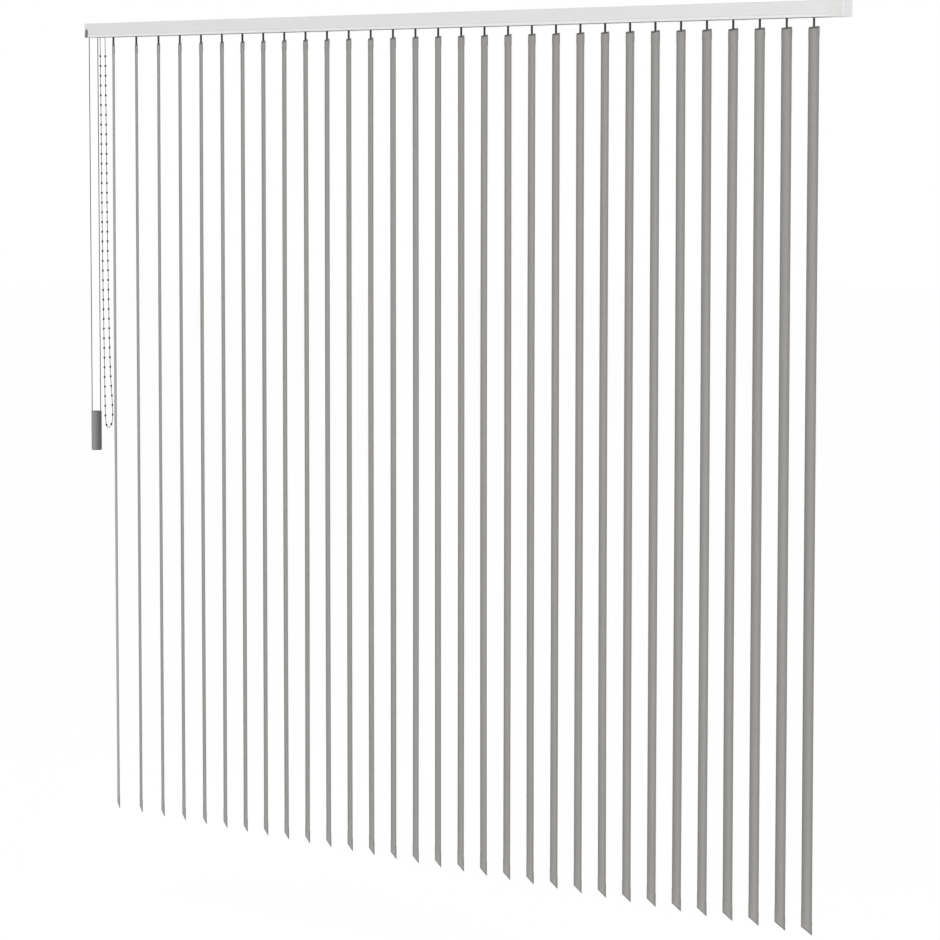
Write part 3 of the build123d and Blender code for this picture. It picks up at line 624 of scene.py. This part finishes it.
# Vanes in place. Each hangs from its carrier by its own stem, all turned to the same angle,
# and each strip of cloth has a slight bow along it and a slight cup across it of its own.
VANE_COUNT = 31
VANE_ANGLE = math.radians(41.2)
MOST_BOW = 0.0012
MOST_CUP = 0.0006
dice = random.Random(31)
for number in range(1, VANE_COUNT + 1):
    body = f"vane_{number:02d}"
    corner_low, corner_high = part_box(body)
    middle = (corner_low + corner_high) / 2
    turn_in = Matrix.Translation((middle.x, middle.y, 0.0)) @ Matrix.Rotation(-VANE_ANGLE, 4, "Z")
    made = {}
    for name, model in (("cloth", cloth), ("hanger", hanger), ("stem", stem), ("ballast", ballast)):
        piece = bpy.data.objects.new(f"{body}_{name}", model.data.copy())
        bpy.context.scene.collection.objects.link(piece)
        made[name] = piece
    bow = dice.uniform(-MOST_BOW, MOST_BOW)
    cup = dice.uniform(-MOST_CUP, MOST_CUP)
    for vertex in made["cloth"].data.vertices:
        share = (CLOTH_TOP - vertex.co.z) / (CLOTH_TOP - CLOTH_BOTTOM)
        swell = math.sin(math.pi * min(max(share, 0.0), 1.0))
        vertex.co.y += swell * (bow + cup * (1 - (2 * vertex.co.x / VANE_WIDTH) ** 2))
    for piece in made.values():
        piece.data.transform(turn_in)
        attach(piece, body)
    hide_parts(body)
for model in (cloth, hanger, stem, ballast):
    bpy.data.objects.remove(model)

# Floor and studio. A plain pale floor below the hanging vanes and a white surround, whose light
# is stronger at the left. A broad softbox stands far in front, and a small one past the end cap.
FLOOR_RADIUS = 40.0
FLOOR_LEVEL = -2.6
FLOOR_GLOW = 1.06
GLOW_SHARE = 0.88
bpy.ops.object.select_all(action="DESELECT")
bpy.ops.mesh.primitive_circle_add(
    vertices=64, radius=FLOOR_RADIUS, fill_type="NGON", location=(0.0, 0.0, FLOOR_LEVEL)
)
floor = bpy.context.object
floor.name = "floor"
bpy.ops.object.transform_apply(location=True, rotation=False, scale=False)
paper = Finish("floor_paper", 0.9)
paper.paint(grey(236, 236, 236))
rays = paper.node("ShaderNodeLightPath", {}, {}, "Is Camera Ray")
seen = rays.most(paper.node("ShaderNodeLightPath", {}, {}, "Is Glossy Ray"))
seen = seen.most(paper.node("ShaderNodeLightPath", {}, {}, "Is Transmission Ray"))
glow = paper.node("ShaderNodeEmission", {}, {"Color": (1.0, 1.0, 1.0, 1.0), "Strength": FLOOR_GLOW})
matt = Link(paper, paper.surface.outputs["BSDF"])
shown = paper.node("ShaderNodeMixShader", {}, {0: seen * GLOW_SHARE, 1: matt, 2: glow})
paper.connect(paper.nodes["Material Output"].inputs["Surface"], shown)
paper.put_on(floor)

LEFTMOST = -0.9
RIGHTMOST = 0.9
LIGHT_AT_LEFT = 1.05
LIGHT_AT_RIGHT = 0.0
world = bpy.data.worlds.new("studio")
world.use_nodes = True
bpy.context.scene.world = world
room = world.node_tree
ambient = room.nodes["Background"]
ambient.inputs["Color"].default_value = (1.0, 1.0, 1.0, 1.0)
facing = room.nodes.new("ShaderNodeTexCoord")
sides = room.nodes.new("ShaderNodeSeparateXYZ")
room.links.new(facing.outputs["Generated"], sides.inputs["Vector"])
fade = room.nodes.new("ShaderNodeMapRange")
fade.inputs["From Min"].default_value = LEFTMOST
fade.inputs["From Max"].default_value = RIGHTMOST
fade.inputs["To Min"].default_value = LIGHT_AT_LEFT
fade.inputs["To Max"].default_value = LIGHT_AT_RIGHT
room.links.new(sides.outputs["X"], fade.inputs["Value"])
room.links.new(fade.outputs["Result"], ambient.inputs["Strength"])
white = room.nodes.new("ShaderNodeBackground")
white.inputs["Strength"].default_value = 1.0
white.inputs["Color"].default_value = (1.0, 1.0, 1.0, 1.0)
ray = room.nodes.new("ShaderNodeLightPath")
either = room.nodes.new("ShaderNodeMath")
either.operation = "MAXIMUM"
room.links.new(ray.outputs["Is Camera Ray"], either.inputs[0])
room.links.new(ray.outputs["Is Transmission Ray"], either.inputs[1])
choose = room.nodes.new("ShaderNodeMixShader")
room.links.new(either.outputs[0], choose.inputs[0])
room.links.new(ambient.outputs[0], choose.inputs[1])
room.links.new(white.outputs[0], choose.inputs[2])
room.links.new(choose.outputs[0], room.nodes["World Output"].inputs["Surface"])

BLIND_MIDDLE = (0.0, 0.0, -1.1)


def softbox(name, place, size, power):
    """A square area light that faces the middle of the blind, power in watts."""
    lamp = bpy.data.objects.new(name, bpy.data.lights.new(name, "AREA"))
    bpy.context.scene.collection.objects.link(lamp)
    lamp.data.size = size
    lamp.data.energy = power
    lamp.location = place
    aim = Vector(BLIND_MIDDLE) - Vector(place)
    lamp.rotation_euler = aim.to_track_quat("-Z", "Y").to_euler()


softbox("key", (-0.9, -12.0, 0.2), 4.0, 660.0)
softbox("fill", (4.2, -0.14, 0.0), 1.5, 74.0)
bpy.context.scene.view_settings.view_transform = "Standard"

bpy.context.view_layer.update()
